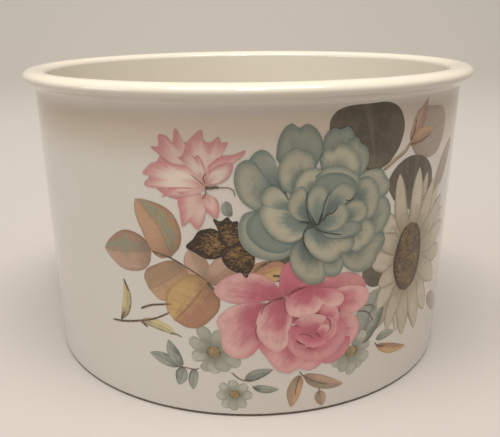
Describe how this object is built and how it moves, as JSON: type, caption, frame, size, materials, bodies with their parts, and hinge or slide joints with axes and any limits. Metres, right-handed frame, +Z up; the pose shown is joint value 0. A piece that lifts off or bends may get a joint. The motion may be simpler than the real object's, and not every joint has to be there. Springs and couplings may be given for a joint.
{
  "type": "butter crock",
  "caption": "Open straight-sided glazed stoneware crock with a rolled rim, a shallow foot ring and printed flower transfers fired onto the front of its wall.",
  "frame": {"origin": "centre of the foot ring's underside", "axes": "+Z up along the axis that the pot is turned about, -Y towards the printed front"},
  "size_m": [0.13, 0.13, 0.083],
  "materials": {
    "cream_glaze": "glossy cream glaze, bare buff clay on the foot ring",
    "bouquet_print": "fired-on flower print, as glossy as the glaze",
    "scatter_print": "fired-on leaf and bud print, as glossy as the glaze"
  },
  "bodies": {
    "root": {"crock_body": "cream_glaze", "bouquet_transfer": "bouquet_print", "budding_twig_transfer": "scatter_print", "green_sprig_transfer": "scatter_print", "brown_leaf_transfer": "scatter_print", "leaf_pair_transfer": "scatter_print"}
  },
  "joints": []
}
